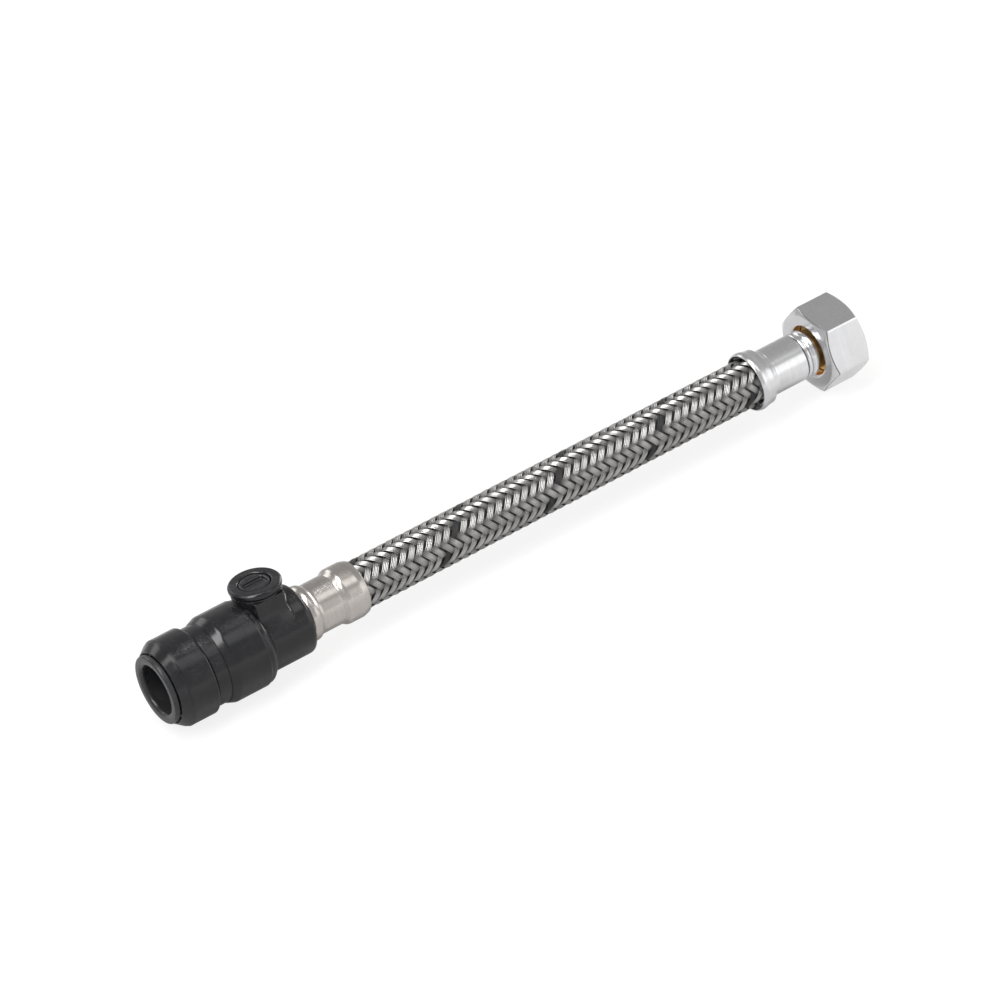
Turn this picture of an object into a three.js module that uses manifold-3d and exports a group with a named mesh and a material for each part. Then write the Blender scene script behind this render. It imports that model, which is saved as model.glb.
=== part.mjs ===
// Flexible tap connector: push-fit end with a service valve, braided hose, union nut.
// Millimetres. The hose runs along +X from the pipe socket to the nut, the valve boss is up (+Z).
// Each piece is drawn about the hose axis with x = 0 at the collet face; the group then moves
// the whole object so that it stands on z = 0 with x = 0 at the middle of its length.
import * as THREE from "three";
import { mergeVertices } from "three/addons/utils/BufferGeometryUtils.js";
import Module from "manifold-3d";

const wasm = await Module();
wasm.setup();

// Clearances and small edges
const gap = 0.3;
const slide = 0.3;
const edge = 0.3;

// Pipe socket, its collet and cap
const pipeRadius = 7.6;
const socketPlay = 0.12;
const colletRadius = 10.85;
const colletFlange = 1.8;
const colletTravel = 1.5;
const colletWall = 1.35;
const legLength = 10.6;
const legBarb = 0.8;
const legBarbLength = 3.2;
const colletSlots = 6;
const slotWidth = 1.1;
const grabThickness = 0.4;
const grabTeeth = 18;
const capWall = 1.45;
const capLength = 12.2;
const capLip = 6.8;
const capTaper = 3.1;
const washerThickness = 1.3;
const sealSection = 1.25;

// Valve body
const socketWall = 1.48;
const neckLength = 4.4;
const neckStep = 0.5;
const ringStep = 0.05;
const ringLength = 13.2;
const ringChamfer = 2.6;
const ringTaper = 3.8;
const barrelRadius = 11.2;
const barrelLength = 18.1;
const barrelRound = 1.4;
const bossSetback = 10.9;
const bossRadius = 7.4;
const padLength = 10.4;
const padWidth = 15.4;

// Valve inside and its screw head
const ballRadius = 6.3;
const waterway = 4.2;
const seatReach = 6.5;
const seatFace = 3.6;
const seatWall = 0.6;
const stopWall = 2.0;
const discRadius = 8.1;
const discTop = 18.0;
const discThickness = 1.9;
const spindleRadius = 4.7;
const headDepth = 4.6;
const stemRadius = 3.2;
const stemPlay = 0.5;
const screwSlotLength = 8.0;
const screwSlotWidth = 2.6;
const screwSlotDepth = 2.3;

// Hose
const hoseRadius = 7.75;
const hoseShown = 145.9;
const braidColumns = 24;
const braidLead = 38.2;
const braidDepth = 0.42;
const braidCrimped = 7.0;
const braidInner = 6.55;
const linerWall = 1.6;
const linerInner = 4.7;
const tailWall = 1.1;
const barbHeight = 0.5;
const barbPitch = 4.0;

// Ferrules
const ferruleWall = 0.55;
const nearFerruleLength = 20.4;
const nearBeadRadius = 8.9;
const nearBeadLength = 4.1;
const nearCrimpRadius = 7.95;
const nearBellRadius = 8.95;
const nearBellLength = 8.6;
const farFerruleLength = 19.0;
const farMouthRadius = 9.6;
const farBellRadius = 9.05;
const farBellLength = 6.9;
const farShankRadius = 7.5;

// Tail and union nut
const tailBeadRadius = 7.4;
const tailBeadLength = 3.4;
const tailNeckRadius = 6.4;
const nutGap = 5.1;
const nutLength = 14.1;
const nutFlats = 25.0;
const nutFaceInset = 0.45;
const nutBack = 3.3;
const nutHole = 8.1;
const nutCountersink = 0.9;
const threadMinor = 9.3;
const threadDepth = 0.88;
const threadPitch = 1.814;
const nutTurn = 16;
const flangeThickness = 2.0;
const flangeRadius = 8.8;
const sealThickness = 2.4;
const sealBore = 5.0;

// Places along the axis
const socketRadius = pipeRadius + socketPlay;
const sleeveRadius = socketRadius + colletWall;
const colletEnd = colletFlange + legLength;
const capFront = colletFlange;
const capEnd = capFront + capLength;
const capShoulder = capFront + capLip;
const washerStart = colletEnd + colletTravel + gap;
const sealPlace = washerStart + washerThickness + gap + sealSection;
const sealRadius = socketRadius + sealSection;
const pocketRadius = sealRadius + sealSection + gap;
const pocketEnd = sealPlace + sealSection + gap;
const threadRadius = pocketRadius + socketWall;
const neckRadius = threadRadius + neckStep;
const capRadius = threadRadius + gap + capWall;
const ringRadius = capRadius + ringStep;
const ringStart = capEnd + neckLength;
const ringEnd = ringStart + ringLength;
const bodyEnd = ringEnd + barrelLength;
const bossX = bodyEnd - bossSetback;
const chamberRadius = ballRadius + seatWall + gap;
const chamberStart = bossX - seatReach - gap;
const chamberEnd = bossX + seatReach + gap;
const pipeStop = chamberStart - stopWall;
const tailStart = chamberEnd + gap;
const nearFerruleStart = bodyEnd + gap;
const nearFerruleEnd = nearFerruleStart + nearFerruleLength;
const nearCrimpStart = nearFerruleStart + nearBeadLength;
const braidStart = nearCrimpStart + ferruleWall + 2 * gap;
const farMouth = nearFerruleEnd + hoseShown;
const farFerruleEnd = farMouth + farFerruleLength;
const farShankStart = farMouth + farBellLength;
const braidEnd = farShankStart - 3 * ferruleWall - 4 * gap;
const linerOuter = linerInner + linerWall;
const tailRadius = linerInner - gap;
const tailBore = tailRadius - tailWall;
const nutStart = farFerruleEnd + nutGap;
const overall = nutStart + nutLength;
const flangeStart = nutStart + nutBack + gap;
const flangeEnd = flangeStart + flangeThickness;
const nutCorner = nutFlats / Math.sqrt(3);

// Facets around the large and the small pieces
const round = 36;
const fine = 24;

// A manifold solid from a geometry, and a geometry from a solid.
function solid(geometry) {
  const bare = geometry.clone();
  bare.deleteAttribute("normal");
  bare.deleteAttribute("uv");
  const merged = mergeVertices(bare, 1e-4);
  return new wasm.Manifold(
    new wasm.Mesh({
      numProp: 3,
      vertProperties: merged.attributes.position.array,
      triVerts: new Uint32Array(merged.index.array),
    }),
  );
}

function shape(body) {
  const mesh = body.getMesh();
  const geometry = new THREE.BufferGeometry();
  geometry.setAttribute("position", new THREE.BufferAttribute(mesh.vertProperties, 3));
  geometry.setIndex(new THREE.BufferAttribute(mesh.triVerts, 1));
  const flat = geometry.toNonIndexed();
  flat.computeVertexNormals();
  return flat;
}

// An outline of [x, radius] pairs turned about the X axis. It starts inside at the small end,
// goes round the outside, and closes on itself. Half a facet of turn puts a flat at the bottom.
function turned(outline, segments = round) {
  const points = outline.map(([x, r]) => new THREE.Vector2(r, x));
  points.push(points[0].clone());
  const geometry = new THREE.LatheGeometry(points, segments);
  geometry.rotateZ(-Math.PI / 2);
  geometry.rotateX(Math.PI / segments);
  return geometry;
}

// The same about the boss axis: [height, radius] pairs.
function upright(outline, segments = fine) {
  const geometry = turned(outline, segments);
  geometry.rotateY(-Math.PI / 2);
  geometry.translate(bossX, 0, 0);
  return geometry;
}

// Points on an arc in the [x, radius] plane, angles in degrees from +X.
function arc(x, r, radius, from, to, steps) {
  return Array.from({ length: steps + 1 }, (_, i) => {
    const a = THREE.MathUtils.degToRad(from + ((to - from) * i) / steps);
    return [x + radius * Math.cos(a), r + radius * Math.sin(a)];
  });
}

// Section of a ring seal: an octagon.
function sealOutline(x, radius, section) {
  return arc(x, radius, section, 180, -135, 7);
}

function block(x, y, z, width, depth, height) {
  const geometry = new THREE.BoxGeometry(width, depth, height);
  geometry.translate(x, y, z);
  return solid(geometry);
}

// Collet: flange, thin sleeve, and legs with an outward barb and a groove for the grab ring.
function collet() {
  const grooveStart = capShoulder + slide + colletWall;
  const grooveEnd = grooveStart + grabThickness + 2 * gap;
  let body = solid(
    turned([
      [0, socketRadius + edge * 2],
      [0, colletRadius - edge],
      [edge, colletRadius],
      [colletFlange - edge, colletRadius],
      [colletFlange, colletRadius - edge],
      [colletFlange, sleeveRadius],
      [colletEnd - legBarbLength, sleeveRadius],
      [colletEnd - legBarbLength + edge, sleeveRadius + legBarb],
      [colletEnd - legBarb, sleeveRadius + legBarb],
      [colletEnd, sleeveRadius],
      [colletEnd, socketRadius],
      [grooveEnd, socketRadius],
      [grooveEnd, sleeveRadius - gap],
      [grooveStart, sleeveRadius - gap],
      [grooveStart, socketRadius],
      [edge * 2, socketRadius],
    ]),
  );
  for (let i = 0; i < colletSlots; i++) {
    const depth = sleeveRadius + legBarb;
    const slot = block(colletEnd, 0, depth, 2 * (colletEnd - capShoulder + colletWall), slotWidth, depth);
    body = body.subtract(slot.rotate([(360 * (i + 0.5)) / colletSlots, 0, 0]));
  }
  return shape(body);
}

// Thin steel ring with inward teeth, in the groove of the collet legs.
function grabRing() {
  const outer = sleeveRadius - 2 * gap;
  const steps = Array.from({ length: 2 * grabTeeth }, (_, i) => (Math.PI * i) / grabTeeth);
  const ring = new THREE.Shape(
    steps.map((a) => new THREE.Vector2(outer * Math.cos(a), outer * Math.sin(a))),
  );
  const teeth = steps.map((a, i) => {
    const r = i % 2 ? outer - edge : pipeRadius;
    return new THREE.Vector2(r * Math.cos(-a), r * Math.sin(-a));
  });
  ring.holes.push(new THREE.Path(teeth));
  const geometry = new THREE.ExtrudeGeometry(ring, { depth: grabThickness, bevelEnabled: false });
  geometry.rotateY(Math.PI / 2);
  geometry.translate(capShoulder + slide + colletWall + gap, 0, 0);
  return geometry;
}

function retainingCap() {
  const recess = capFront + colletTravel + gap;
  return turned([
    [capFront, colletRadius + slide],
    [capFront, colletRadius + slide + edge],
    [capFront + capTaper - edge, capRadius - edge],
    [capFront + capTaper, capRadius],
    [capEnd - 5 * edge, capRadius],
    ...arc(capEnd - 3 * edge, capRadius - 3 * edge, 3 * edge, 70, 0, 2),
    [capEnd, threadRadius + gap],
    [capShoulder, threadRadius + gap],
    [capShoulder, sleeveRadius + slide],
    [recess, sleeveRadius + slide],
    [recess, colletRadius + slide],
  ]);
}

function spacerWasher() {
  return turned(
    [
      [washerStart, socketRadius + edge / 2],
      [washerStart, pocketRadius - gap],
      [washerStart + washerThickness, pocketRadius - gap],
      [washerStart + washerThickness, socketRadius + edge / 2],
    ],
    fine,
  );
}

// Valve body: threaded mouth, neck, stepped ring, barrel and chimney in one moulding.
function valveBody() {
  const mouth = capShoulder + gap;
  const headFloor = discTop - edge - headDepth;
  const chimneyTop = discTop - discThickness - gap;
  const padTop = chimneyTop - 2 * edge;
  const padFoot = barrelRadius / 2;
  const outside = turned([
    [mouth, 0],
    [mouth, threadRadius - edge],
    [mouth + edge, threadRadius],
    [capEnd + gap, threadRadius],
    [capEnd + gap, neckRadius],
    [ringStart, neckRadius],
    [ringStart + edge / 2, neckRadius + edge],
    [ringStart + ringChamfer, ringRadius],
    [ringEnd, ringRadius],
    [ringEnd + edge / 2, ringRadius - edge],
    [ringEnd + ringTaper / 2, ringRadius - edge],
    [ringEnd + ringTaper - edge, barrelRadius + 2 * edge],
    [ringEnd + ringTaper, barrelRadius],
    [bodyEnd - barrelRound, barrelRadius],
    ...arc(bodyEnd - barrelRound, barrelRadius - barrelRound, barrelRound, 50, 0, 2),
    [bodyEnd, 0],
  ]);
  const chimney = upright(
    [
      [2, 0],
      [2, bossRadius],
      [chimneyTop - 4 * edge, bossRadius],
      [chimneyTop - 3 * edge, bossRadius + edge],
      [chimneyTop, bossRadius + edge],
      [chimneyTop, 0],
    ],
    32,
  );
  const bore = turned(
    [
      [0, 0],
      [0, pocketRadius],
      [pocketEnd, pocketRadius],
      [pocketEnd, socketRadius],
      [pipeStop, socketRadius],
      [pipeStop, waterway],
      [chamberStart, waterway],
      [chamberStart, chamberRadius],
      [chamberEnd, chamberRadius],
      [chamberEnd, chamberRadius + 5 * edge],
      [bodyEnd + 1, chamberRadius + 5 * edge],
      [bodyEnd + 1, 0],
    ],
    32,
  );
  const stemBore = upright([
    [0, 0],
    [0, stemRadius + stemPlay],
    [headFloor - gap, stemRadius + stemPlay],
    [headFloor - gap, spindleRadius + slide],
    [discTop, spindleRadius + slide],
    [discTop, 0],
  ]);
  const pad = block(bossX, 0, (padTop + padFoot) / 2, padLength, padWidth, padTop - padFoot);
  const whole = solid(outside).add(solid(chimney)).add(pad);
  return shape(whole.subtract(solid(bore)).subtract(solid(stemBore)));
}

// Bored ball with a groove on top for the blade of the spindle.
function valveBall() {
  const sphere = new THREE.SphereGeometry(ballRadius, 24, 14);
  sphere.rotateX(Math.PI / 2);
  sphere.translate(bossX, 0, 0);
  const port = turned(
    [
      [bossX - 2 * ballRadius, 0],
      [bossX - 2 * ballRadius, waterway],
      [bossX + 2 * ballRadius, waterway],
      [bossX + 2 * ballRadius, 0],
    ],
    fine,
  );
  const groove = block(bossX, 0, ballRadius, 1.8 + 2 * gap, 4 * ballRadius, 2.6);
  return shape(solid(sphere).subtract(solid(port)).subtract(groove));
}

// Seat ring cupped to the ball, side -1 before it and +1 behind it.
function ballSeat(side) {
  const reach = ballRadius + gap;
  const from = Math.acos(waterway / reach);
  const to = Math.asin(seatFace / reach);
  const cup = Array.from({ length: 4 }, (_, i) => {
    const a = from + ((to - from) * i) / 3;
    return [bossX + side * reach * Math.sin(a), reach * Math.cos(a)];
  });
  const outline = [
    [bossX + side * seatReach, waterway],
    ...cup,
    [bossX + side * seatFace, ballRadius + seatWall],
    [bossX + side * seatReach, ballRadius + seatWall],
  ];
  return turned(side < 0 ? outline.reverse() : outline, fine);
}

// Stem with a ring groove, slotted head, and a blade that turns the ball.
function spindle() {
  const head = discTop - edge;
  const headFloor = head - headDepth;
  const foot = ballRadius + gap;
  const stem = solid(
    upright([
      [foot, 0],
      [foot, stemRadius],
      [grooveHeight() - 3 * edge, stemRadius],
      [grooveHeight() - 3 * edge, stemRadius - 0.75],
      [grooveHeight() + 3 * edge, stemRadius - 0.75],
      [grooveHeight() + 3 * edge, stemRadius],
      [headFloor, stemRadius],
      [headFloor, spindleRadius],
      [head, spindleRadius],
      [head, 0],
    ]),
  );
  const blade = block(bossX, 0, foot - 0.5, 1.8, 4.6, 1.6);
  const slot = block(bossX, 0, head, screwSlotLength, screwSlotWidth, 2 * screwSlotDepth);
  return shape(stem.add(blade).subtract(slot));
}

// Height of the spindle's ring seal: midway along the plain stem.
function grooveHeight() {
  return (ballRadius + discTop - edge - headDepth) / 2 + gap;
}

function spindleSeal() {
  return upright(sealOutline(grooveHeight(), stemRadius - 0.05, 0.5), 18);
}

function bossDisc() {
  const bottom = discTop - discThickness;
  const hole = spindleRadius + slide;
  return upright(
    [
      [bottom, hole],
      [bottom, discRadius - edge],
      [bottom + edge, discRadius],
      ...arc(discTop - 1.5 * edge, discRadius - 1.5 * edge, 1.5 * edge, 90, 0, 2).reverse(),
      [discTop, hole + edge],
      [discTop - edge, hole],
    ],
    32,
  );
}

// Shallow barbs that hold the liner, as outline points on a tail.
function barbs(start, count) {
  return Array.from({ length: count }, (_, i) => [
    [start + i * barbPitch, tailRadius - barbHeight],
    [start + (i + 1) * barbPitch - edge, tailRadius],
  ]).flat();
}

// Insert held in the body, with a plug, a collar for the ferrule and a barbed shank.
function nearTail() {
  const collarEnd = nearFerruleStart + nearBeadLength + ferruleWall;
  const plug = chamberRadius + 5 * edge - gap;
  return turned(
    [
      [tailStart, tailBore],
      [tailStart, plug],
      [bodyEnd, plug],
      [bodyEnd, linerOuter],
      [collarEnd, linerOuter],
      [collarEnd, tailRadius],
      ...barbs(collarEnd + barbPitch / 2, 3),
      [nearFerruleEnd, tailRadius - barbHeight],
      [nearFerruleEnd, tailBore],
    ],
    fine,
  );
}

function nearFerrule() {
  const bell = nearFerruleEnd - nearBellLength;
  const beadMiddle = nearFerruleStart + nearBeadLength / 2;
  const beadRound = nearBeadLength * 0.4;
  const inner = linerOuter + gap;
  return turned([
    [nearFerruleStart, inner],
    [nearFerruleStart, nearBeadRadius - 3 * edge],
    ...arc(beadMiddle - edge, nearBeadRadius - beadRound, beadRound, 140, 40, 3),
    [nearCrimpStart, nearCrimpRadius],
    [bell, nearCrimpRadius],
    [bell + 5 * edge, nearBellRadius - edge],
    [bell + 8 * edge, nearBellRadius],
    [nearFerruleEnd - 6 * edge, nearBellRadius],
    [nearFerruleEnd - edge, nearBellRadius - ferruleWall + edge / 2],
    [nearFerruleEnd, nearBellRadius - ferruleWall],
    [nearFerruleEnd, nearBellRadius - 2 * ferruleWall + edge / 2],
    [nearFerruleEnd - 6 * edge, nearBellRadius - ferruleWall],
    [bell + 8 * edge, nearBellRadius - ferruleWall],
    [bell + 2 * edge, nearCrimpRadius - ferruleWall],
    [nearCrimpStart + ferruleWall, nearCrimpRadius - ferruleWall],
    [nearCrimpStart + ferruleWall, inner],
  ]);
}

function hoseLiner() {
  const start = nearFerruleStart + nearBeadLength + ferruleWall + gap;
  return turned(
    [
      [start, linerInner],
      [start, linerOuter],
      [braidEnd, linerOuter],
      [braidEnd, linerInner],
    ],
    fine,
  );
}

// Woven sleeve: a lattice of strand crossings (high) and gaps between strands (low).
// A ridge joins two crossings where one strand runs over both; elsewhere the surface dips.
function braidSleeve() {
  const step = braidLead / braidColumns;
  const from = nearFerruleEnd - nearBellLength + 10 * edge;
  const rows = Math.floor((braidEnd - edge - from) / step);
  const rings = [
    { x: braidStart, r: braidCrimped },
    { x: from - step, r: braidCrimped },
  ];
  for (let k = 0; k <= rows; k++) rings.push({ x: from + k * step, row: k });
  rings.push({ x: braidEnd, r: braidCrimped });
  rings.push({ x: braidEnd, r: braidInner });
  rings.push({ x: braidStart, r: braidInner });
  const isCrossing = (ring, m) => ring.row !== undefined && (ring.row + m) % 2 === 0;
  const position = rings.flatMap((ring) =>
    Array.from({ length: braidColumns }, (_, m) => {
      const r = ring.r ?? hoseRadius - (isCrossing(ring, m) ? 0 : braidDepth);
      const a = (2 * Math.PI * m) / braidColumns;
      return [ring.x, -r * Math.sin(a), r * Math.cos(a)];
    }).flat(),
  );
  const index = [];
  rings.forEach((ring, k) => {
    const next = ((k + 1) % rings.length) * braidColumns;
    for (let m = 0; m < braidColumns; m++) {
      const n = (m + 1) % braidColumns;
      const [a, b, c, d] = [k * braidColumns + m, next + m, next + n, k * braidColumns + n];
      const even = isCrossing(ring, m);
      const ridge = even ? m % 4 === 0 : m % 4 === 2;
      if (even === ridge) index.push(a, c, b, a, d, c);
      else index.push(a, d, b, b, d, c);
    }
  });
  const geometry = new THREE.BufferGeometry();
  geometry.setAttribute("position", new THREE.Float32BufferAttribute(position, 3));
  geometry.setIndex(index);
  const flat = geometry.toNonIndexed();
  flat.computeVertexNormals();
  return flat;
}

// Belled mouth, straight bell, shoulder and narrow shank.
function farFerrule() {
  const lip = farMouth + 2 * edge + farBellLength / 7;
  const shoulder = farShankStart - 2 * ferruleWall;
  const bore = farShankRadius - ferruleWall;
  return turned([
    [farMouth, farMouthRadius - ferruleWall - edge / 2],
    [farMouth + edge, farMouthRadius - edge],
    [lip, farMouthRadius],
    [lip + 4 * edge, farMouthRadius - edge],
    [lip + 8 * edge, farBellRadius],
    [shoulder - 4 * edge, farBellRadius],
    [shoulder, farBellRadius - 2 * edge],
    [farShankStart, farShankRadius],
    [farFerruleEnd - edge, farShankRadius],
    [farFerruleEnd, farShankRadius - edge],
    [farFerruleEnd, bore],
    [farShankStart - ferruleWall, bore],
    [shoulder - 3 * edge, farBellRadius - ferruleWall],
    [lip, farMouthRadius - 1.5 * ferruleWall],
  ]);
}

// Insert in the hose, with a double bead outside the ferrule and the flange that the nut pulls on.
function farTail() {
  const tip = farMouth - farBellLength * 1.5;
  const collar = farFerruleEnd + gap;
  const fit = farShankRadius - ferruleWall - gap;
  const beadEnd = collar + tailBeadLength;
  const waist = collar + tailBeadLength / 2;
  return turned(
    [
      [tip, tailBore],
      [tip, tailRadius - barbHeight],
      [tip + edge * 3, tailRadius],
      ...barbs(tip + barbPitch, 4),
      [braidEnd + gap, tailRadius - barbHeight],
      [braidEnd + gap, fit - 2 * edge],
      [farShankStart, fit],
      [collar, fit],
      [collar, tailBeadRadius - edge],
      [collar + edge, tailBeadRadius],
      [waist - 2 * edge, tailBeadRadius],
      [waist, tailBeadRadius - edge],
      [waist + 2 * edge, tailBeadRadius],
      [beadEnd - edge, tailBeadRadius],
      [beadEnd, tailNeckRadius],
      [flangeStart, tailNeckRadius],
      [flangeStart, flangeRadius],
      [flangeEnd, flangeRadius],
      [flangeEnd, tailBore],
    ],
    32,
  );
}

// Hexagon with 30 degree chamfers, a countersunk hole in its back, and thread ridges.
function unionNut() {
  const corners = Array.from({ length: 6 }, (_, i) => {
    const a = THREE.MathUtils.degToRad(60 * i + nutTurn);
    return new THREE.Vector2(nutCorner * Math.cos(a), nutCorner * Math.sin(a));
  });
  const bar = new THREE.ExtrudeGeometry(new THREE.Shape(corners), {
    depth: nutLength,
    bevelEnabled: false,
  });
  bar.rotateY(Math.PI / 2);
  bar.rotateX(Math.PI / 2);
  bar.translate(nutStart, 0, 0);
  const face = nutFlats / 2 - nutFaceInset;
  const drop = (nutCorner + 1 - face) * Math.tan(Math.PI / 6);
  const envelope = turned(
    [
      [nutStart, 0],
      [nutStart, face],
      [nutStart + drop, nutCorner + 1],
      [overall - drop, nutCorner + 1],
      [overall, face],
      [overall, 0],
    ],
    48,
  );
  const shoulder = nutStart + nutBack;
  const threadStart = flangeEnd + sealThickness + 2 * gap;
  const ridges = [];
  for (let x = threadStart; x + threadPitch < overall - edge; x += threadPitch) {
    ridges.push([x, threadMinor + threadDepth], [x + threadPitch / 2, threadMinor]);
  }
  const bore = turned(
    [
      [nutStart - nutCountersink, 0],
      [nutStart - nutCountersink, nutHole + 2 * nutCountersink],
      [nutStart + nutCountersink, nutHole],
      [shoulder, nutHole],
      [shoulder, threadMinor],
      [threadStart - threadDepth, threadMinor],
      ...ridges,
      [overall - nutCountersink, threadMinor + threadDepth / 2],
      [overall + nutCountersink, threadMinor + 2.2 * threadDepth],
      [overall + nutCountersink, 0],
    ],
    round,
  );
  return shape(solid(bar).intersect(solid(envelope)).subtract(solid(bore)));
}

function sealingWasher() {
  const start = flangeEnd + gap;
  return turned(
    [
      [start, sealBore],
      [start, threadMinor - gap],
      [start + sealThickness, threadMinor - gap],
      [start + sealThickness, sealBore],
    ],
    fine,
  );
}

const group = new THREE.Group();
group.name = "flexible_tap_connector";

function add(name, geometry, color, roughness, metalness) {
  const material = new THREE.MeshStandardMaterial({ color, roughness, metalness });
  material.name = name;
  const mesh = new THREE.Mesh(geometry, material);
  mesh.name = name;
  group.add(mesh);
}

add("collet", collet(), 0x232527, 0.45, 0);
add("grab_ring", grabRing(), 0xb9bcc0, 0.3, 1);
add("retaining_cap", retainingCap(), 0x25272a, 0.42, 0);
add("spacer_washer", spacerWasher(), 0x2c2d2f, 0.5, 0);
add("socket_seal", turned(sealOutline(sealPlace, sealRadius, sealSection), fine), 0x161616, 0.6, 0);
add("valve_body", valveBody(), 0x232528, 0.42, 0);
add("valve_ball", valveBall(), 0xc9c9c4, 0.18, 1);
add("ball_seat_front", ballSeat(-1), 0xe9e7df, 0.5, 0);
add("ball_seat_rear", ballSeat(1), 0xe9e7df, 0.5, 0);
add("spindle", spindle(), 0x202224, 0.4, 0);
add("spindle_seal", spindleSeal(), 0x161616, 0.6, 0);
add("boss_disc", bossDisc(), 0x232528, 0.4, 0);
add("near_tail", nearTail(), 0xb39a5c, 0.35, 1);
add("near_ferrule", nearFerrule(), 0xc4b8ad, 0.3, 1);
add("hose_liner", hoseLiner(), 0x1b1b1b, 0.7, 0);
add("braid_sleeve", braidSleeve(), 0xa9a9a8, 0.35, 1);
add("far_ferrule", farFerrule(), 0xcfd1d3, 0.22, 1);
add("far_tail", farTail(), 0xcfcfcd, 0.2, 1);
add("union_nut", unionNut(), 0xc9cbcd, 0.22, 1);
add("sealing_washer", sealingWasher(), 0x1d1d1d, 0.7, 0);

// The nut's lowest corner reaches a little below the rings, so the object stands on it.
const nutReach = nutCorner * Math.cos(THREE.MathUtils.degToRad(30 - nutTurn));
group.position.set(-overall / 2, 0, Math.max(nutReach, ringRadius));

export default group;
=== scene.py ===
import bpy
import bmesh
import math
import random
from mathutils import Matrix, Vector


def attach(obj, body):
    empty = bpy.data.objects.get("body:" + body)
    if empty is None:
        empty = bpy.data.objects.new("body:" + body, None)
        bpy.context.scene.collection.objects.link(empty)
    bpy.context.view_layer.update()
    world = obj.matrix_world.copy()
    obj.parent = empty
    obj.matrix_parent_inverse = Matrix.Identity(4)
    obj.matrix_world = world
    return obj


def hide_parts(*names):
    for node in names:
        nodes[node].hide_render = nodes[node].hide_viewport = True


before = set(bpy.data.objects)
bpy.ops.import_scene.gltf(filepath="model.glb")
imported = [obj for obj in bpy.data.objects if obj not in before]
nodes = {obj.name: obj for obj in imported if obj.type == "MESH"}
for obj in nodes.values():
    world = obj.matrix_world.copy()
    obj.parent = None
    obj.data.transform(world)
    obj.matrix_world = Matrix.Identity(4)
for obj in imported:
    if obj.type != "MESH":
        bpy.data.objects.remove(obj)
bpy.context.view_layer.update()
scene = bpy.context.scene

# Lengths below are in millimetres from the collet face (x) and the hose axis (y, z).
# The frame has its origin under the middle of the connector, on the ground.
overall = 254.5
axisHeight = 14.005


def place(x, y, z):
    return ((x - overall / 2) / 1000, y / 1000, (z + axisHeight) / 1000)


# Camera

cameraLook = {
    "eye": (-500.0, -1134.9, 767.7),
    "right": (0.8073, -0.5630, -0.1770),
    "up": (0.4197, 0.3368, 0.8429),
    "back": (-0.4149, -0.7547, 0.5081),
    "lens": 181.6,
}


def makeCamera(look):
    data = bpy.data.cameras.new("photoCamera")
    data.lens = look["lens"]
    data.sensor_width = 36
    data.clip_start = 0.05
    data.clip_end = 50
    camera = bpy.data.objects.new("photoCamera", data)
    scene.collection.objects.link(camera)
    turn = Matrix((look["right"], look["up"], look["back"])).transposed()
    camera.matrix_world = Matrix.Translation(place(*look["eye"])) @ turn.to_4x4()
    scene.camera = camera
    return camera


makeCamera(cameraLook)
print("camera ready")


# Mesh helpers

def circlePoint(x, radius, angle):
    return (x, radius * math.cos(angle), radius * math.sin(angle))


def rounded(outline, size=0.15, steps=3):
    # Each corner of a closed [x, radius] outline gets a small arc.
    result = []
    count = len(outline)
    for i, corner in enumerate(outline):
        here = Vector(corner[:2])
        before = Vector(outline[i - 1][:2]) - here
        after = Vector(outline[(i + 1) % count][:2]) - here
        reach = corner[2] if len(corner) > 2 else size
        bend = before.angle(after, 0)
        if reach <= 0 or bend > math.radians(172):
            result.append(tuple(here))
            continue
        cut = min(reach, before.length * 0.45, after.length * 0.45)
        first = here + before.normalized() * cut
        last = here + after.normalized() * cut
        for k in range(steps + 1):
            t = k / steps
            point = first * (1 - t) ** 2 + here * 2 * t * (1 - t) + last * t ** 2
            result.append(tuple(point))
    return result


def finishMesh(name, verts, faces, smoothAngle=32, closed=True):
    mesh = bpy.data.meshes.new(name)
    mesh.from_pydata([place(*v) for v in verts], [], faces)
    mesh.update()
    if closed:
        work = bmesh.new()
        work.from_mesh(mesh)
        bmesh.ops.remove_doubles(work, verts=work.verts, dist=1e-7)
        bmesh.ops.recalc_face_normals(work, faces=work.faces)
        limit = math.radians(smoothAngle)
        for edge in work.edges:
            edge.smooth = len(edge.link_faces) == 2 and edge.calc_face_angle(0) < limit
        work.to_mesh(mesh)
        work.free()
    mesh.polygons.foreach_set("use_smooth", [True] * len(mesh.polygons))
    piece = bpy.data.objects.new(name, mesh)
    scene.collection.objects.link(piece)
    if closed:
        weigh = piece.modifiers.new("evenShading", "WEIGHTED_NORMAL")
        weigh.keep_sharp = True
        weigh.weight = 80
    return piece


def loopFaces(rows, columns, wrapRows):
    faces = []
    for i in range(rows if wrapRows else rows - 1):
        for j in range(columns):
            a = i * columns + j
            b = i * columns + (j + 1) % columns
            c = ((i + 1) % rows) * columns + (j + 1) % columns
            d = ((i + 1) % rows) * columns + j
            faces.append((a, b, c, d))
    return faces


def turnedPiece(name, outline, segments=160, turn=circlePoint):
    # A closed outline of [x, radius] turned about the hose axis, or placed by turn(x, radius, angle).
    verts = [
        turn(x, r, 2 * math.pi * k / segments)
        for k in range(segments)
        for x, r in outline
    ]
    return finishMesh(name, verts, loopFaces(segments, len(outline), True))


def stacked(name, loops):
    # Loops of equally many points, joined one to the next and closed at both ends.
    count = len(loops[0])
    verts = [point for loop in loops for point in loop]
    faces = loopFaces(len(loops), count, False)
    faces.append(tuple(range(count)))
    faces.append(tuple((len(loops) - 1) * count + k for k in range(count)))
    return finishMesh(name, verts, faces)


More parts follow.
